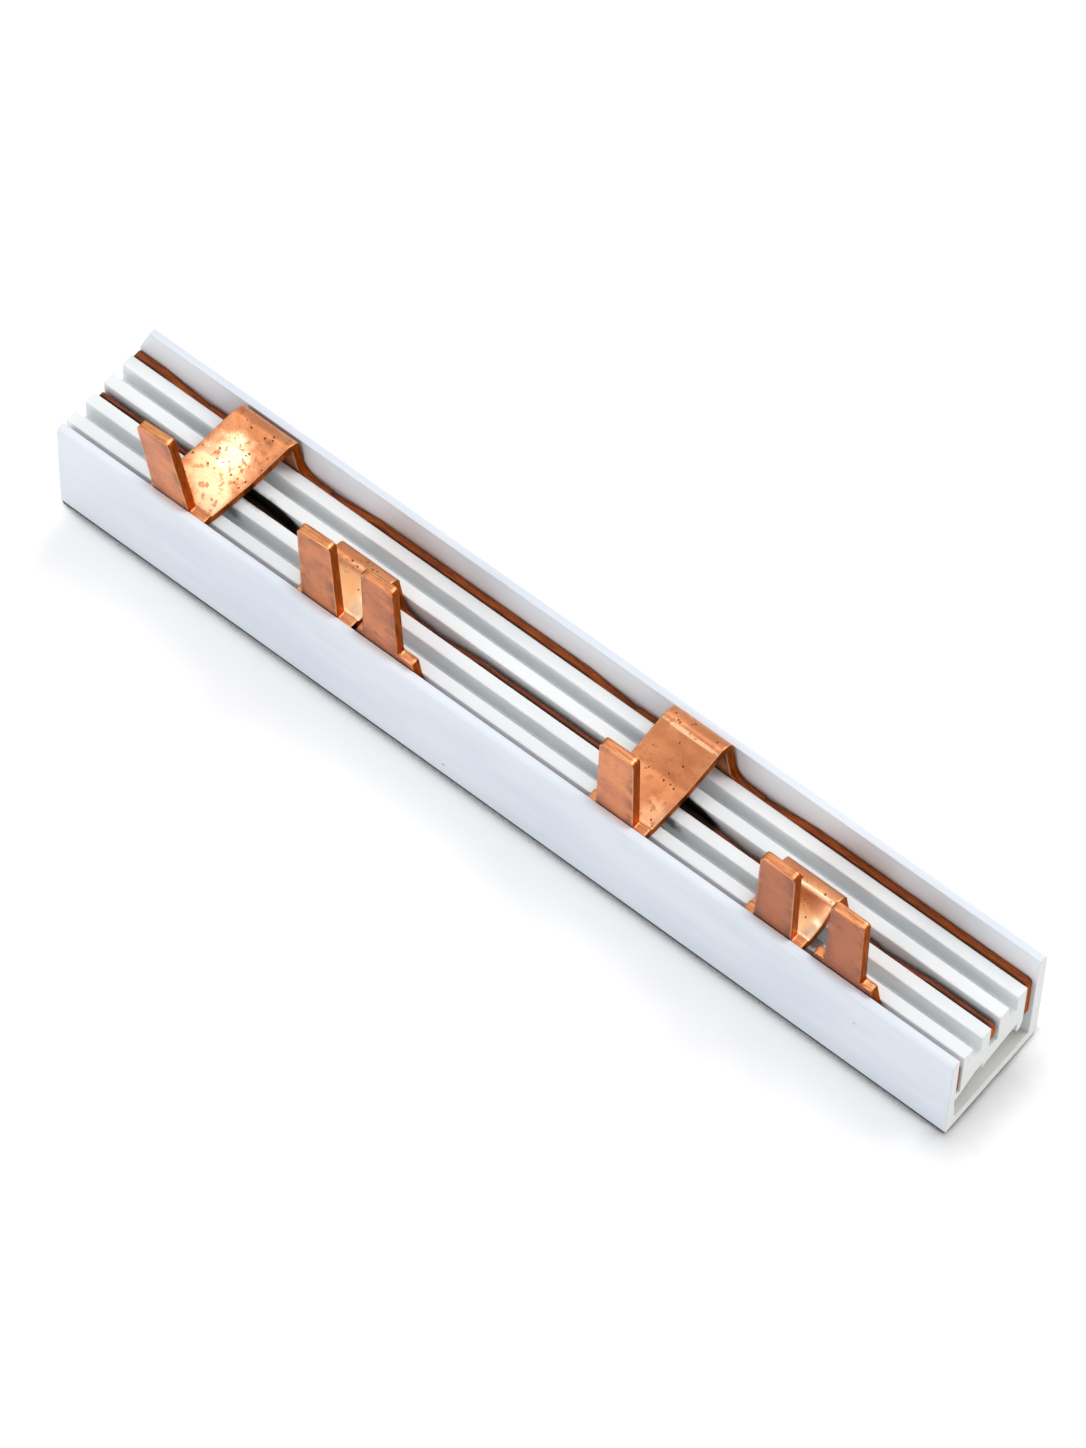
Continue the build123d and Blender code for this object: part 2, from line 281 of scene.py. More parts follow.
    def patches(self, spots: tuple["Spot", ...]) -> tuple[Socket, Socket]:
        """Where the spots lie.

        Args:
            spots: The spots.

        Returns:
            How much of a spot a place is, and how polished it is, both from 0 to 1.
        """
        ragged = self.level(self.noise(self.grid((0.9, 0.9, 0.9)), detail=4), -1.0, 1.0)
        share: object = 0.0
        gloss: object = 0.0
        for spot in spots:
            centre = [c * MM for c in spot.centre]
            away = self.add("VectorMath", {"operation": "SUBTRACT"})
            self.links.new(self.place, away.inputs[0])
            away.inputs[1].default_value = centre
            scaled = self.add("VectorMath", {"operation": "MULTIPLY"})
            self.links.new(away.outputs[0], scaled.inputs[0])
            reach = 1.0 / (spot.radius * MM)
            scaled.inputs[1].default_value = (reach / spot.along, reach, reach)
            length = self.add("VectorMath", {"operation": "LENGTH"})
            self.links.new(scaled.outputs[0], length.inputs[0])
            far = self.math("ADD", length.outputs["Value"], self.math("MULTIPLY", ragged, spot.ragged))
            near = self.step(far, 1.0, spot.core)
            share = self.math("MAXIMUM", share, self.math("MULTIPLY", near, spot.amount))
            gloss = self.math("MAXIMUM", gloss, self.math("MULTIPLY", near, spot.gloss))
        return share, gloss

    def relief(self, layers: list[tuple[Socket, float]], rounding: float) -> Socket:
        """Bumps laid over each other, on corners that catch the light as if rounded.

        Args:
            layers: Each layer's height from 0 to 1 and its real depth in millimetres.
            rounding: The radius of the corners in millimetres.

        Returns:
            The normal's socket.
        """
        normal = self.add("Bevel", {"samples": ROUND_SAMPLES}, Radius=rounding * MM).outputs[0]
        for height, depth in layers:
            bump = self.add("Bump", Height=height, Strength=1.0, Distance=depth * MM, Normal=normal)
            normal = bump.outputs[0]
        return normal

    def finish(self, **inputs: object) -> bpy.types.Material:
        """Sets the shader's sockets.

        Args:
            **inputs: Their values or links, with _ for a space in their names.

        Returns:
            The material.
        """
        for key, value in inputs.items():
            self.set(self.shader.inputs[key.replace("_", " ")], value)
        return self.material


@dataclass(frozen=True)
class Spot:
    """A place painted another colour, mostly a painted highlight or painted shade, and maybe polished more.

    Its centre and radius are in mm, along is how much longer it is along X, core the share of
    the radius within which it is whole, and ragged how far its rim wanders, as a share too.
    """

    centre: tuple[float, float, float]
    radius: float
    amount: float = 1.0
    gloss: float = 0.0
    along: float = 1.0
    core: float = 0.35
    ragged: float = 0.5


WHOLE_LENGTH = 1000.0
# Painted shadows of taps 1 and 4 in the L2 slot beneath them, on the insert's slot walls and on L2's top
# edge.
PAINTED_SHADOWS_UNDER_TAPS = (
    Spot((-34.0, -0.2, 9.9), 2.05, 0.98, along=2.7, core=0.78, ragged=0.12),
    Spot((16.6, -0.2, 9.9), 2.05, 0.98, along=2.5, core=0.78, ragged=0.12),
)
# Painted shadows on the insert in the dark gaps beside taps 1, 2, 4 and 5.
PAINTED_SHADOWS_BESIDE_TAPS = (
    Spot((35.6, -3.9, 11.5), 1.3, 0.9, core=0.4),
    Spot((-17.6, -4.6, 11.5), 1.3, 0.9, core=0.4),
    Spot((17.2, -2.6, 10.6), 1.3, 0.85, along=1.3),
    Spot((-35.6, -2.6, 10.6), 1.3, 0.7, along=1.3),
)
# A painted shade line along the front side of L2's top edge in its slot, the whole length.
PAINTED_SLOT_SHADE = Spot((0.0, -0.47, 10.7), 0.42, 0.9, along=WHOLE_LENGTH, core=0.4, ragged=0.1)
# A painted shade line where L1's top edge meets the channel's rear wall, the whole length.
PAINTED_WALL_SHADE = Spot((0.0, 4.7, 11.35), 0.26, 0.8, along=WHOLE_LENGTH, core=0.4, ragged=0.1)
# Painted highlights on L1's plates: the hot spot on tap 1's plate, partly real polish, glints in the folds of
# taps 1 and 4, and a line along tap 4's crest.
L1_PAINTED_HIGHLIGHTS = (
    Spot((-37.9, 0.9, 14.3), 2.8, 1.0, 1.0),
    Spot((-38.4, -0.9, 13.6), 3.8, 0.7, 0.5),
    Spot((-37.1, -3.2, 13.1), 2.6, 1.0, 0.2),
    Spot((16.4, -4.0, 13.0), 2.2, 0.8),
    Spot((15.0, 3.58, 16.17), 0.3, along=17.0, core=0.5, ragged=0.1),
)
# Painted highlights on L2's plates: bright patches near the folds of taps 2 and 5, and a line along tap 5's
# crest.
L2_PAINTED_HIGHLIGHTS = (
    Spot((-20.7, -4.2, 13.8), 3.5, along=1.4, core=0.6, ragged=0.2),
    Spot((33.9, -4.6, 13.4), 2.6, along=1.4, core=0.5, ragged=0.3),
    Spot((33.9, -3.6, 14.6), 3.2, 0.35, along=1.4),
    Spot((33.8, -1.62, 15.33), 0.3, along=15.0, core=0.5, ragged=0.1),
)
# Darker copper over the two pins near the right end.
DARKER_RIGHT_PINS = (Spot((36.5, -5.4, 18.0), 10.5, 0.65, core=0.7, ragged=0.15),)
EAR_SHADE = (Spot((-17.9, -5.5, 12.4), 0.8, 0.95),)


@dataclass(frozen=True)
class ExtrudedPvc:
    """White PVC as it left the die: satin, with faint draw lines along X."""

    name: str
    tint: Tone
    shade: Tone
    roughness: float = 0.34
    line_depth: float = 0.003
    specks: float = 0.93
    speck_strength: float = 0.75
    edge_reach: float = 0.16
    edge_wear: float = 0.55
    scuff_roughness: float = 0.14
    wave_depth: float = 0.008
    scuff_depth: float = 0.002
    corner_radius: float = 0.12
    shades: tuple[Spot, ...] = ()

    def build(self) -> bpy.types.Material:
        """Makes the material.

        Returns:
            The material.
        """
        bench = Bench(self.name)
        cloud = bench.noise(bench.grid((0.05, 0.22, 0.22)), detail=4)
        colour = bench.blend(bench.step(cloud, 0.35, 0.7), self.tint.linear, self.shade.linear)
        lines = bench.noise(bench.grid((0.02, 5.0, 5.0)), detail=2)
        edge = bench.edges(self.edge_reach)
        worn = bench.math("MULTIPLY", edge, bench.step(cloud, 0.3, 0.6))
        colour = bench.blend(bench.math("MULTIPLY", worn, self.edge_wear), colour, Tone.HANDLED_EDGE.linear)
        distance, chance = bench.cells(bench.grid((0.35, 0.6, 0.6)))
        chosen = bench.step(chance, self.specks, self.specks + 0.01)
        speck = bench.math("MULTIPLY", bench.step(distance, 0.1, 0.05), chosen)
        speck = bench.math("MULTIPLY", speck, self.speck_strength)
        colour = bench.blend(speck, colour, Tone.DUST.linear)
        # Painted shade: near-black within the shade spots.
        colour = bench.blend(bench.patches(self.shades)[0], colour, Tone.PAINTED_SHADE.linear)
        scuff = bench.step(bench.noise(bench.grid((0.12, 2.5, 2.5), (12, 8, 20)), detail=5), 0.62, 0.72)
        rough = bench.level(scuff, self.roughness, self.roughness + self.scuff_roughness)
        waves = bench.noise(bench.grid((0.08, 0.5, 0.5)), detail=2)
        layers = [(waves, self.wave_depth), (lines, self.line_depth), (scuff, -self.scuff_depth)]
        normal = bench.relief(layers, self.corner_radius)
        return bench.finish(Base_Color=colour, Roughness=rough, Normal=normal, IOR=PVC_IOR)


@dataclass(frozen=True)
class SawnPvc:
    """The cut end of a PVC extrusion: matt, with saw marks and a slightly torn rim."""

    name: str
    tint: Tone = Tone.SAWN_WHITE
    edge_reach: float = 0.2
    edge_wear: float = 0.4
    roughness: float = 0.6
    mark_depth: float = 0.03
    tear_depth: float = 0.04
    corner_radius: float = 0.1

    def build(self) -> bpy.types.Material:
        """Makes the material.

        Returns:
            The material.
        """
        bench = Bench(self.name)
        marks = bench.noise(bench.grid((1.0, 7.0, 0.7), (28, 0, 0)), detail=3)
        cloud = bench.noise(bench.grid((0.5, 0.5, 0.5)), detail=3)
        edge = bench.edges(self.edge_reach)
        colour = bench.blend(bench.level(marks, 0.0, 0.5), self.tint.linear, Tone.INSERT_GREY.linear)
        rim = bench.math("MULTIPLY", edge, bench.step(cloud, 0.45, 0.65))
        colour = bench.blend(bench.math("MULTIPLY", rim, self.edge_wear), colour, Tone.HANDLED_EDGE.linear)
        normal = bench.relief([(marks, self.mark_depth), (cloud, self.tear_depth)], self.corner_radius)
        return bench.finish(Base_Color=colour, Roughness=self.roughness, Normal=normal, IOR=PVC_IOR)


@dataclass(frozen=True)
class RolledCopper:
    """The strip's own faces: satin copper, slightly tarnished, pitted and scratched."""

    name: str
    spots: tuple[Spot, ...] = ()
    bright: Tone = Tone.COPPER_ORANGE
    dull: Tone = Tone.COPPER_ROSE
    rim_tarnish: float = 0.55
    roughness: float = 0.36
    metallic: float = 0.9
    polish: float = 0.17
    # Colour painted within the spots: a painted highlight tone unless set darker.
    lit: Tone = Tone.COPPER_POLISH_AND_HIGHLIGHT
    # Share of painted shade in narrow gaps, such as below the pins at the wall's top.
    painted_gap_shade: float = 0.0
    pitting: float = 0.8
    flecks: float = 0.0
    film_strength: float = 0.55
    film_roughness: float = 0.16
    fleck_roughness: float = 0.12
    grain_roughness: float = 0.05
    scratch_shine: float = 0.2
    rim_reach: float = 2.2
    edge_reach: float = 0.4
    edge_burnish_and_highlight: float = 0.7
    gap_reach: float = 3.0
    wave_depth: float = 0.035
    grain_depth: float = 0.005
    scratch_depth: float = 0.006
    pit_depth: float = 0.05
    rounding: float = 0.4

    def build(self) -> bpy.types.Material:
        """Makes the material.

        Returns:
            The material.
        """
        bench = Bench(self.name)
        painted_spot, gloss = bench.patches(self.spots)
        cloud = bench.noise(bench.grid((0.3, 0.3, 0.3)), detail=4, wander=0.6)
        colour = bench.blend(bench.step(cloud, 0.38, 0.66), self.bright.linear, self.dull.linear)
        # Painted colour in the spots: painted highlights, partly polish, on the plates, and darker copper on
        # two pins.
        colour = bench.blend(painted_spot, colour, self.lit.linear)
        smoke = bench.noise(bench.grid((0.55, 0.5, 0.45), (10, 30, 5)), detail=7, rough=0.7)
        film = bench.step(smoke, 0.58, 0.76)
        colour = bench.blend(bench.math("MULTIPLY", film, self.film_strength), colour, Tone.TARNISH.linear)
        distance, chance = bench.cells(bench.grid((1.5, 1.5, 1.5)))
        wobble = bench.math("ADD", distance, bench.level(bench.noise(bench.grid((6, 6, 6))), -0.1, 0.1))
        pit = bench.math("MULTIPLY", bench.step(wobble, 0.22, 0.1), bench.step(chance, 0.4, 0.5))
        colour = bench.blend(bench.math("MULTIPLY", pit, self.pitting), colour, Tone.PIT.linear)
        fleck = bench.step(bench.noise(bench.grid((1.5, 1.5, 1.5)), detail=3, rough=0.6), 0.56, 0.64)
        fleck = bench.math("MULTIPLY", fleck, self.flecks)
        colour = bench.blend(fleck, colour, Tone.COPPER_PLATE_DULL.linear)
        strokes = bench.noise(bench.grid((0.25, 9.0, 9.0), (25, 35, 40)), detail=2)
        scratch = bench.step(strokes, 0.66, 0.72)
        shine = bench.math("MULTIPLY", scratch, self.scratch_shine)
        colour = bench.blend(shine, colour, Tone.COPPER_BURNISH_AND_HIGHLIGHT.linear)
        patchy = bench.step(bench.noise(bench.grid((0.45, 0.45, 0.45)), detail=3), 0.4, 0.58)
        rim = bench.math("MULTIPLY", bench.edges(self.rim_reach), patchy)
        colour = bench.blend(bench.math("MULTIPLY", rim, self.rim_tarnish), colour, Tone.TARNISH.linear)
        # Lighter rims on the rounded edges: burnish and painted highlight.
        edge = bench.math("MULTIPLY", bench.edges(self.edge_reach), self.edge_burnish_and_highlight)
        colour = bench.blend(edge, colour, Tone.COPPER_BURNISH_AND_HIGHLIGHT.linear)
        # Painted shade: near-black where occlusion finds a narrow gap.
        gap = bench.math("MULTIPLY", bench.step(bench.nook(self.gap_reach), 0.85, 0.45), self.painted_gap_shade)
        colour = bench.blend(gap, colour, Tone.PAINTED_SHADE.linear)
        grain = bench.noise(bench.grid((3.5, 3.5, 3.5)), detail=4)
        base = bench.level(film, self.roughness, self.roughness + self.film_roughness)
        rough = bench.math("ADD", base, bench.level(grain, -self.grain_roughness, self.grain_roughness))
        rough = bench.math("SUBTRACT", rough, bench.math("MULTIPLY", gloss, self.polish))
        rough = bench.math("ADD", rough, bench.math("MULTIPLY", fleck, self.fleck_roughness))
        waves = bench.noise(bench.grid((0.45, 0.6, 0.6)), detail=1)
        raised = [(waves, self.wave_depth), (grain, self.grain_depth)]
        sunk = [(scratch, -self.scratch_depth), (pit, -self.pit_depth)]
        normal = bench.relief(raised + sunk, self.rounding)
        return bench.finish(Base_Color=colour, Metallic=self.metallic, Roughness=rough, Normal=normal)


@dataclass(frozen=True)
class ShearedCopper:
    """The strip's cut faces: fine lines in two tones, with corners lightened as burnish and painted
    highlight.
    """

    name: str
    bright: Tone = Tone.COPPER_SHEARED
    brown: Tone = Tone.COPPER_BROWN
    roughness: float = 0.36
    metallic: float = 0.95
    rounding: float = 0.35
    shades: tuple[Spot, ...] = ()
    tarnish: float = 0.4
    edge_reach: float = 0.15
    edge_burnish_and_highlight: float = 0.3
    line_depth: float = 0.012
    tear_depth: float = 0.03

    def build(self) -> bpy.types.Material:
        """Makes the material.

        Returns:
            The material.
        """
        bench = Bench(self.name)
        lines = bench.noise(bench.grid((0.5, 9.0, 0.6)), detail=3)
        cloud = bench.noise(bench.grid((0.35, 0.5, 0.35)), detail=5, rough=0.65)
        colour = bench.blend(bench.step(lines, 0.35, 0.7), self.bright.linear, self.brown.linear)
        stain = bench.math("MULTIPLY", bench.step(cloud, 0.5, 0.7), self.tarnish)
        colour = bench.blend(stain, colour, Tone.TARNISH.linear)
        # Lighter corners: burnish and painted highlight.
        edge = bench.math("MULTIPLY", bench.edges(self.edge_reach), self.edge_burnish_and_highlight)
        colour = bench.blend(edge, colour, Tone.COPPER_BURNISH_AND_HIGHLIGHT.linear)
        # Painted shade: near-black within the shade spots.
        colour = bench.blend(bench.patches(self.shades)[0], colour, Tone.PAINTED_SHADE.linear)
        rough = bench.level(cloud, self.roughness - 0.06, self.roughness + 0.12)
        normal = bench.relief([(lines, self.line_depth), (cloud, self.tear_depth)], self.rounding)
        return bench.finish(
            Base_Color=colour,
            Metallic=self.metallic,
            Roughness=rough,
            Normal=normal,
            Specular_Tint=Tone.COPPER_GRAZING.linear,
        )


@dataclass
class Workpiece:
    """A CAD node that keeps its shape: its corners are broken and its faces get their finishes."""

    node: str
    slot: str
    rounding: float
    finishes: tuple[bpy.types.Material, ...]
    corner_angle: float = 40.0
    weld_gap: float = 0.002
    flat_angle: float = 0.5
    bevel_steps: int = 3

    @property
    def thing(self) -> bpy.types.Object:
        """The node's object."""
        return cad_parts[self.node]

    def skin_at(self, normal: Vector, centre: Vector) -> Skin:
        """Which finish a face with this normal and centre, in millimetres, gets."""
        return Skin.CUT if abs(normal.x) > 0.8 else Skin.PLAIN

    def dress(self) -> None:
        """Gives each face its finish."""
        mesh = self.thing.data
        mesh.materials.clear()
        for material in self.finishes:
            mesh.materials.append(material)
        for face in mesh.polygons:
            face.use_smooth = True
            face.material_index = self.skin_at(face.normal, face.center / MM).value

    def break_corners(self) -> None:
        """Joins the faces and rounds the sharp corners by a hair, or keeps them sharp without rounding."""
        weld = self.thing.modifiers.new("weld", "WELD")
        weld.merge_threshold = self.weld_gap * MM
        flat = self.thing.modifiers.new("flat", "DECIMATE")
        flat.decimate_type = "DISSOLVE"
        flat.angle_limit = radians(self.flat_angle)
        flat.delimit = {"MATERIAL"}
        if self.rounding:
            bevel = self.thing.modifiers.new("rounding", "BEVEL")
            bevel.width = self.rounding * MM
            bevel.segments = self.bevel_steps
            bevel.limit_method = "ANGLE"
            bevel.angle_limit = radians(self.corner_angle)
            bevel.miter_outer = "MITER_ARC"
        else:
            split = self.thing.modifiers.new("corners", "EDGE_SPLIT")
            split.split_angle = radians(self.corner_angle)
        shading = self.thing.modifiers.new("shading", "WEIGHTED_NORMAL")
        shading.keep_sharp = False

    def make(self) -> None:
        """Dresses the piece and reports it."""
        self.dress()
        self.break_corners()
        LOG.info("%s: %d faces", self.node, len(self.thing.data.polygons))


@dataclass
class Channel(Workpiece):
    """The outer extrusion, whose floor inside gets a darker copy of its finish as painted shade and its rear
    wall's inner face a whiter copy as painted light.
    """

    floor_top: float = 2.0
    rear_wall_from: float = 5.0

    def skin_at(self, normal: Vector, centre: Vector) -> Skin:
        """Which finish a face gets.

        Args:
            normal: The face's normal.
            centre: Its centre in millimetres.

        Returns:
            The finish's kind.
        """
        # The floor inside gets the darker copy: painted shade.
        if normal.z > 0.8 and centre.z < self.floor_top:
            return Skin.DEEP
        # The rear wall's inner face gets the whiter copy: painted light.
        if normal.y < -0.8 and centre.y > self.rear_wall_from:
            return Skin.INNER
        return super().skin_at(normal, centre)


@dataclass
class PhaseBar(Workpiece):
    """A stamped copper bar: sheared on its ends, its top edge and round its taps and tongues."""

    bar_top: float = 11.5
    tongue_back: float = -4.9
    tip_from: float = 20.0

    def skin_at(self, normal: Vector, centre: Vector) -> Skin:
        """Which finish a face gets.

        Args:
            normal: The face's normal.
            centre: Its centre in millimetres.

        Returns:
            The finish's kind.
        """
        upward = normal.z > 0.8
        if upward and centre.z < self.bar_top:
            return Skin.DEEP
        # Upward cut faces get the lighter tip finish: painted light on the tops.
        if upward and (centre.z > self.tip_from or centre.y < self.tongue_back - 0.2):
            return Skin.TIP
        if abs(normal.x) > 0.6:
            return Skin.CUT
        # Sloping plates and tongue backs get the less saturated plate copper: painted sheen.
        sloping = normal.z > 0.3 and centre.z > self.bar_top
        tongue_back = normal.y > 0.9 and centre.y < self.tongue_back + 0.5 and centre.z > self.bar_top
        return Skin.INNER if sloping or tongue_back else Skin.PLAIN


@dataclass(frozen=True)
class Softbox:
    """A rectangular lamp that looks at a point."""

    name: str
    place: tuple[float, float, float]
    size: tuple[float, float]
    watts: float
    aim: tuple[float, float, float] = (0.0, 0.0, 10.0)

    def make(self) -> bpy.types.Object:
        """Makes the lamp.

        Returns:
            The lamp's object.
        """
        lamp = bpy.data.lights.new(self.name, "AREA")
        lamp.shape = "RECTANGLE"
        lamp.size, lamp.size_y = (s * MM for s in self.size)
        lamp.energy = self.watts
        thing = bpy.data.objects.new(self.name, lamp)
        thing.location = Vector(self.place) * MM
        look = (Vector(self.aim) - Vector(self.place)) * MM
        thing.rotation_euler = look.to_track_quat("-Z", "Y").to_euler()
        bpy.context.scene.collection.objects.link(thing)
        return thing


@dataclass(frozen=True)
class EndShadow:
    """The floor's painted shade and painted light at the object's two ends, in mm from them; strengths are
    shares.
    """

    contact: float = 0.28
    contact_fall: float = 2.5
    tail: float = 0.37
    tail_length: float = 7.0
    tail_fall: float = 1.5
    tail_to: float = 1.0
    start: float = 3.0
    rear_fade: float = 0.6
    # Where painted light lifts the floor at the left end.
    lit: tuple[float, float] = (3.6, -0.6)
    bare: tuple[float, float] = (0.6, -0.9)

    def build(self, bench: Bench) -> tuple[Socket, Socket, Socket]:
        """The painted soft shadow beside the right end, as a light from the rear left would cast it.

        Args:
            bench: The floor's bench.

        Returns:
            How dark the painted shadow is, where painted light lifts the floor at the left end, and where
            it lies past that end, each from 0 to 1.
        """
        split = bench.add("SeparateXYZ", Vector=bench.place)
        x, y = (bench.math("DIVIDE", split.outputs[i], MM) for i in (0, 1))
        right, rear = CAD_BOX[1][0] / MM, CAD_BOX[1][1] / MM
        beyond = bench.math("MAXIMUM", bench.math("SUBTRACT", x, right), 0.0)
        forward = bench.math("SUBTRACT", bench.math("MULTIPLY", y, -1.0), rear)
        ahead = bench.math("MAXIMUM", forward, 0.0)
        squares = bench.math("ADD", bench.math("POWER", beyond, 2.0), bench.math("POWER", ahead, 2.0))
        away = bench.math("SQRT", squares, 0.0)
        falling = bench.math("EXPONENT", bench.math("MULTIPLY", away, -self.contact_fall), 0.0)
        contact = bench.math("MULTIPLY", falling, self.contact)
        run = bench.math("SUBTRACT", 1.0, bench.math("DIVIDE", away, self.tail_length))
        fade = bench.math("POWER", bench.math("MAXIMUM", run, 0.0), self.tail_fall)
        tail = bench.math("MULTIPLY", fade, self.tail)
        tail = bench.math("MULTIPLY", tail, bench.step(y, rear, self.tail_to))
        beside = bench.step(x, right - self.start, right)
        shadow = bench.math("MULTIPLY", bench.math("ADD", contact, tail), beside)
        level_with = bench.step(y, rear + self.rear_fade, rear)
        lit, bare = (bench.step(x, near - right, far - right) for near, far in (self.lit, self.bare))
        return bench.math("MULTIPLY", shadow, level_with), lit, bare


@dataclass
class Studio:
    """A pale floor, a white surround and the lamps."""

    surround: float = 0.6
    floor_lift: float = 0.17
    # Painted light at the left end, over the lamps' cast shadow there.
    left_lift: float = 0.28
    floor_size: float = 3000.0
    # The painted contact shadow near the object: reach, depth, fall-off, tail and start.
    shadow_reach: float = 6.0
    shadow_depth: float = 0.8
    shadow_fall: float = 12.0
    shadow_tail: float = 0.06
    shadow_from: float = 0.5
    floor_drop: float = 0.02
    ends: EndShadow = EndShadow()
    softboxes: tuple[Softbox, ...] = (
        Softbox("rear_key", (210.0, 270.0, 520.0), (300.0, 300.0), 1.6),
        Softbox("left_top", (-157.0, -82.0, 322.0), (120.0, 34.0), 0.077, (-38.0, -82.0, 10.0)),
        Softbox("high_left", (-150.0, -10.0, 700.0), (50.0, 50.0), 0.3),
        Softbox("front_fill", (-120.0, -515.0, 230.0), (300.0, 200.0), 0.66),
    )

    def white_rays(self, tree: bpy.types.NodeTree) -> Socket:
        """Camera, glossy and transmission rays, which see plain white.

        Args:
            tree: The node tree that needs them.

        Returns:
            1 on such a ray and 0 on others.
        """
        path = tree.nodes.new("ShaderNodeLightPath")
        total = path.outputs["Is Camera Ray"]
        for name in ("Is Glossy Ray", "Is Transmission Ray"):
            node = tree.nodes.new("ShaderNodeMath")
            node.operation = "MAXIMUM"
            tree.links.new(total, node.inputs[0])
            tree.links.new(path.outputs[name], node.inputs[1])
            total = node.outputs[0]
        return total

    def make_world(self) -> None:
        """Lights evenly from all round, and shows white behind the object."""
        world = bpy.data.worlds.new("surround")
        world.use_nodes = True
        tree = world.node_tree
        light = tree.nodes["Background"]
        light.inputs["Color"].default_value = WHITE
        strength = tree.nodes.new("ShaderNodeMapRange")
        strength.inputs["To Min"].default_value = self.surround
        strength.inputs["To Max"].default_value = 1.0
        tree.links.new(self.white_rays(tree), strength.inputs["Value"])
        tree.links.new(strength.outputs[0], light.inputs["Strength"])
        bpy.context.scene.world = world

    def floor_paper(self) -> bpy.types.Material:
        """Makes the floor's finish: white to the camera but for the lamps' shadows and the painted shadows
        near the object.

        Returns:
            The material.
        """
        bench = Bench("floor_paper")
        white = self.white_rays(bench.material.node_tree)
        # Painted contact shadow: the floor darkens near the object, found by occlusion, on the rays that see
        # white.
        nook = bench.add("AmbientOcclusion", Distance=self.shadow_reach * MM).outputs["AO"]
        span = bench.add("MapRange", Value=nook, From_Min=self.shadow_from, To_Min=1.0, To_Max=0.0)
        near = span.outputs[0]
        end, left, past_end = self.ends.build(bench)
        # Past the left end the painted contact shadow is dropped.
        near = bench.math("MULTIPLY", near, bench.math("SUBTRACT", 1.0, past_end))
        contact = bench.math("POWER", near, self.shadow_fall)
        deep = bench.math("MULTIPLY", contact, self.shadow_depth)
        deep = bench.math("ADD", deep, bench.math("MULTIPLY", near, self.shadow_tail))
        # Painted shadow beside the right end.
        deep = bench.math("MAXIMUM", deep, end)
        seen = bench.math("MULTIPLY", deep, white)
        colour = bench.blend(seen, Tone.FLOOR.linear, BLACK)
        lift = bench.math("MULTIPLY", bench.math("SUBTRACT", 1.0, end), self.floor_lift)
        # Painted light at the left end, which lifts the lamps' cast shadow there to white.
        lift = bench.math("ADD", lift, bench.math("MULTIPLY", left, self.left_lift))
        lift = bench.math("MULTIPLY", lift, bench.math("SUBTRACT", 1.0, contact))
        return bench.finish(
            Base_Color=colour,
            Roughness=1.0,
            Specular_IOR_Level=0.0,
            Emission_Color=WHITE,
            Emission_Strength=bench.math("MULTIPLY", lift, white),
        )

    def make_floor(self) -> bpy.types.Object:
        """Lays the floor, which shows the lamps' shadows of the object and the painted shadows.

        Returns:
            The floor's object.
        """
        half = self.floor_size / 2 * MM
        mesh = bpy.data.meshes.new("floor")
        corners = [(-half, -half, 0), (half, -half, 0), (half, half, 0), (-half, half, 0)]
        mesh.from_pydata(corners, [], [(0, 1, 2, 3)])
        mesh.materials.append(self.floor_paper())
        floor = bpy.data.objects.new("floor", mesh)
        floor.location.z = -self.floor_drop * MM
        bpy.context.scene.collection.objects.link(floor)
        return floor

    def make(self) -> None:
        """Builds the studio and reports it."""
        bpy.context.scene.view_settings.view_transform = "Standard"
        self.make_world()
        self.make_floor()
        for softbox in self.softboxes:
            softbox.make()
            LOG.info("softbox %s: %.2f W", softbox.name, softbox.watts)


@dataclass
class PhotoCamera:
    """The camera that the photograph was taken with, as fitted to the object's corners."""

    place: tuple[float, float, float] = (221.707, -292.616, 649.719)
    rightward: tuple[float, float, float] = (0.77794893, 0.6280644, 0.01818163)
    downward: tuple[float, float, float] = (0.55262722, -0.67016613, -0.4954599)
    forward: tuple[float, float, float] = (-0.29899601, 0.39549016, -0.86844051)
    focal_pixels: float = 7905.06
    long_side_pixels: int = 1448
    sensor: float = 36.0
    clip: tuple[float, float] = (0.01, 10.0)

    def make(self) -> bpy.types.Object:
        """Makes the camera the scene's own.

        Returns:
            The camera's object.
        """
        camera = bpy.data.cameras.new("photo_camera")
        camera.sensor_width = self.sensor
        camera.lens = self.focal_pixels / self.long_side_pixels * self.sensor
        camera.clip_start, camera.clip_end = self.clip
        thing = bpy.data.objects.new("photo_camera", camera)
        axes = (Vector(self.rightward), -Vector(self.downward), -Vector(self.forward))
        columns = axes + (Vector(self.place) * MM,)
        matrix = Matrix.Identity(4)
        for index, column in enumerate(columns):
            for row in range(3):
                matrix[row][index] = column[row]
        thing.matrix_world = matrix
        bpy.context.scene.collection.objects.link(thing)
        bpy.context.scene.camera = thing
        return thing


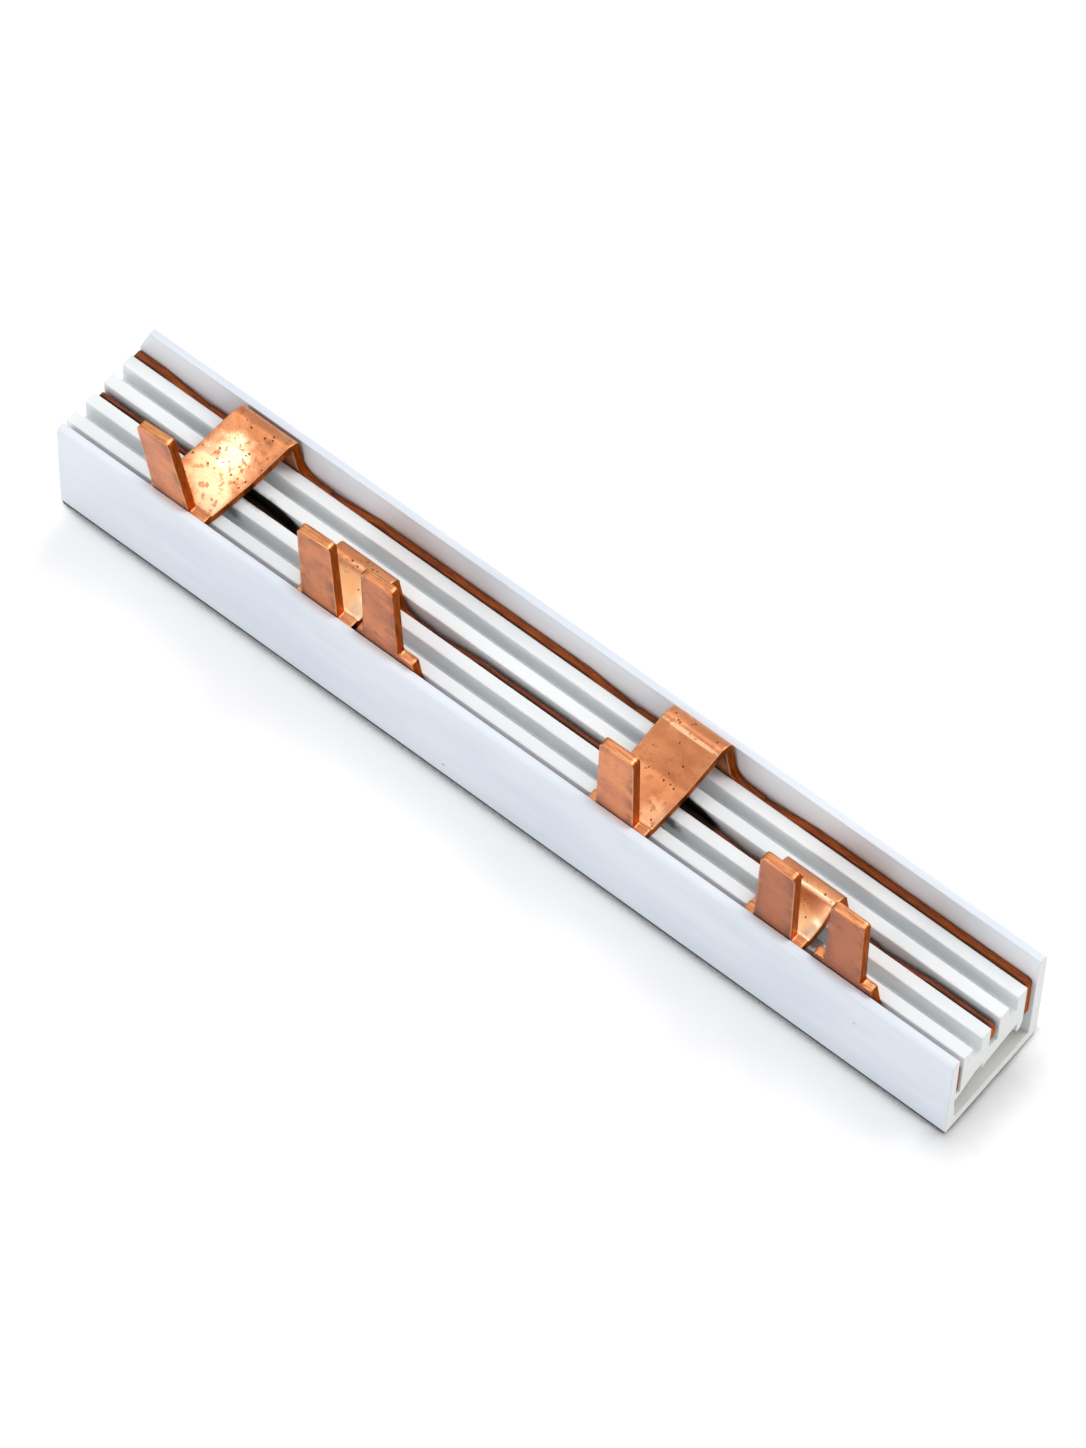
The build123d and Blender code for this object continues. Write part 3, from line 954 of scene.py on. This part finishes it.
def main() -> None:
    """Builds the pieces, the studio and the camera in order."""
    logging.basicConfig(level=logging.INFO, format="%(name)s: %(message)s")
    PhotoCamera().make()
    sawn = SawnPvc("pvc_sawn_end").build()
    channel = ExtrudedPvc("channel_pvc_skin", Tone.CHANNEL_WHITE, Tone.CHANNEL_GREY).build()
    # The insert gets the painted shadows under and beside the taps.
    insert = ExtrudedPvc(
        "insert_pvc_skin", Tone.INSERT_WHITE, Tone.INSERT_GREY, 0.3, shades=PAINTED_SHADOWS_UNDER_TAPS + PAINTED_SHADOWS_BESIDE_TAPS
    ).build()
    # Darker PVC for the channel's floor inside: painted shade.
    inside = ExtrudedPvc("channel_floor_painted_shade", Tone.FLOOR_PAINTED_SHADE_WHITE, Tone.FLOOR_PAINTED_SHADE_GREY, 0.4).build()
    rolled = RolledCopper("copper_rolled", rim_tarnish=0.85, painted_gap_shade=0.8, pitting=0.3).build()
    # L2's and L3's pins, with darker copper over the two pins near the right end.
    dusky = RolledCopper(
        "copper_dusky",
        DARKER_RIGHT_PINS,
        Tone.COPPER_DUSKY,
        Tone.COPPER_DUSKY_DULL,
        rim_tarnish=0.85,
        lit=Tone.COPPER_DARKER_PIN,
        painted_gap_shade=0.8,
        pitting=0.3,
    ).build()
    # The sloping plates get a less saturated copper, painted sheen, and L1's painted highlights.
    plate = RolledCopper(
        "copper_plate", L1_PAINTED_HIGHLIGHTS, Tone.COPPER_PLATE, Tone.COPPER_PLATE_DULL, 0.3, flecks=0.8
    ).build()
    # L2's sloping plates likewise, with L2's painted highlights.
    fold = RolledCopper(
        "copper_fold", L2_PAINTED_HIGHLIGHTS, Tone.COPPER_PLATE, Tone.COPPER_PLATE_DULL, 0.3, lit=Tone.COPPER_LIT
    ).build()
    # Lighter sheared copper for upward cut faces: painted light on the tops.
    tip = ShearedCopper("copper_tip", Tone.COPPER_TIP, Tone.COPPER_TIP_DARK).build()
    sheared = ShearedCopper("copper_sheared", shades=EAR_SHADE).build()
    bar_edge = ShearedCopper(
        "copper_bar_edge", Tone.BAR_EDGE, Tone.BAR_EDGE_DARK, 0.5, 0.8, shades=(PAINTED_WALL_SHADE,)
    ).build()
    # L2's top edge gets the darker copy and painted shadows: painted shade.
    deep_edge = ShearedCopper(
        "copper_deep_edge_painted_shade", Tone.DEEP_EDGE_PAINTED_SHADE, Tone.DEEP_EDGE_PAINTED_SHADE_DARK, 0.5, 0.8, shades=PAINTED_SHADOWS_UNDER_TAPS + (PAINTED_SLOT_SHADE,)
    ).build()
    # Whiter PVC for the channel's rear wall inside: painted light.
    lining = ExtrudedPvc("channel_rear_wall_painted_light", Tone.REAR_WALL_PAINTED_LIGHT_WHITE, Tone.REAR_WALL_PAINTED_LIGHT_GREY).build()
    Channel("channel", "channel_pvc", 0.08, (channel, sawn, inside, lining)).make()
    Workpiece("comb_insert", "insert_pvc", 0.06, (insert, sawn)).make()
    PhaseBar("phase_bar_l1", "copper", 0.0, (rolled, sheared, bar_edge, plate, tip)).make()
    PhaseBar("phase_bar_l2", "copper", 0.0, (dusky, sheared, deep_edge, fold, tip)).make()
    PhaseBar("phase_bar_l3", "copper", 0.2, (dusky, sheared, bar_edge, plate, tip)).make()
    Studio().make()


if __name__ == "__main__":
    main()
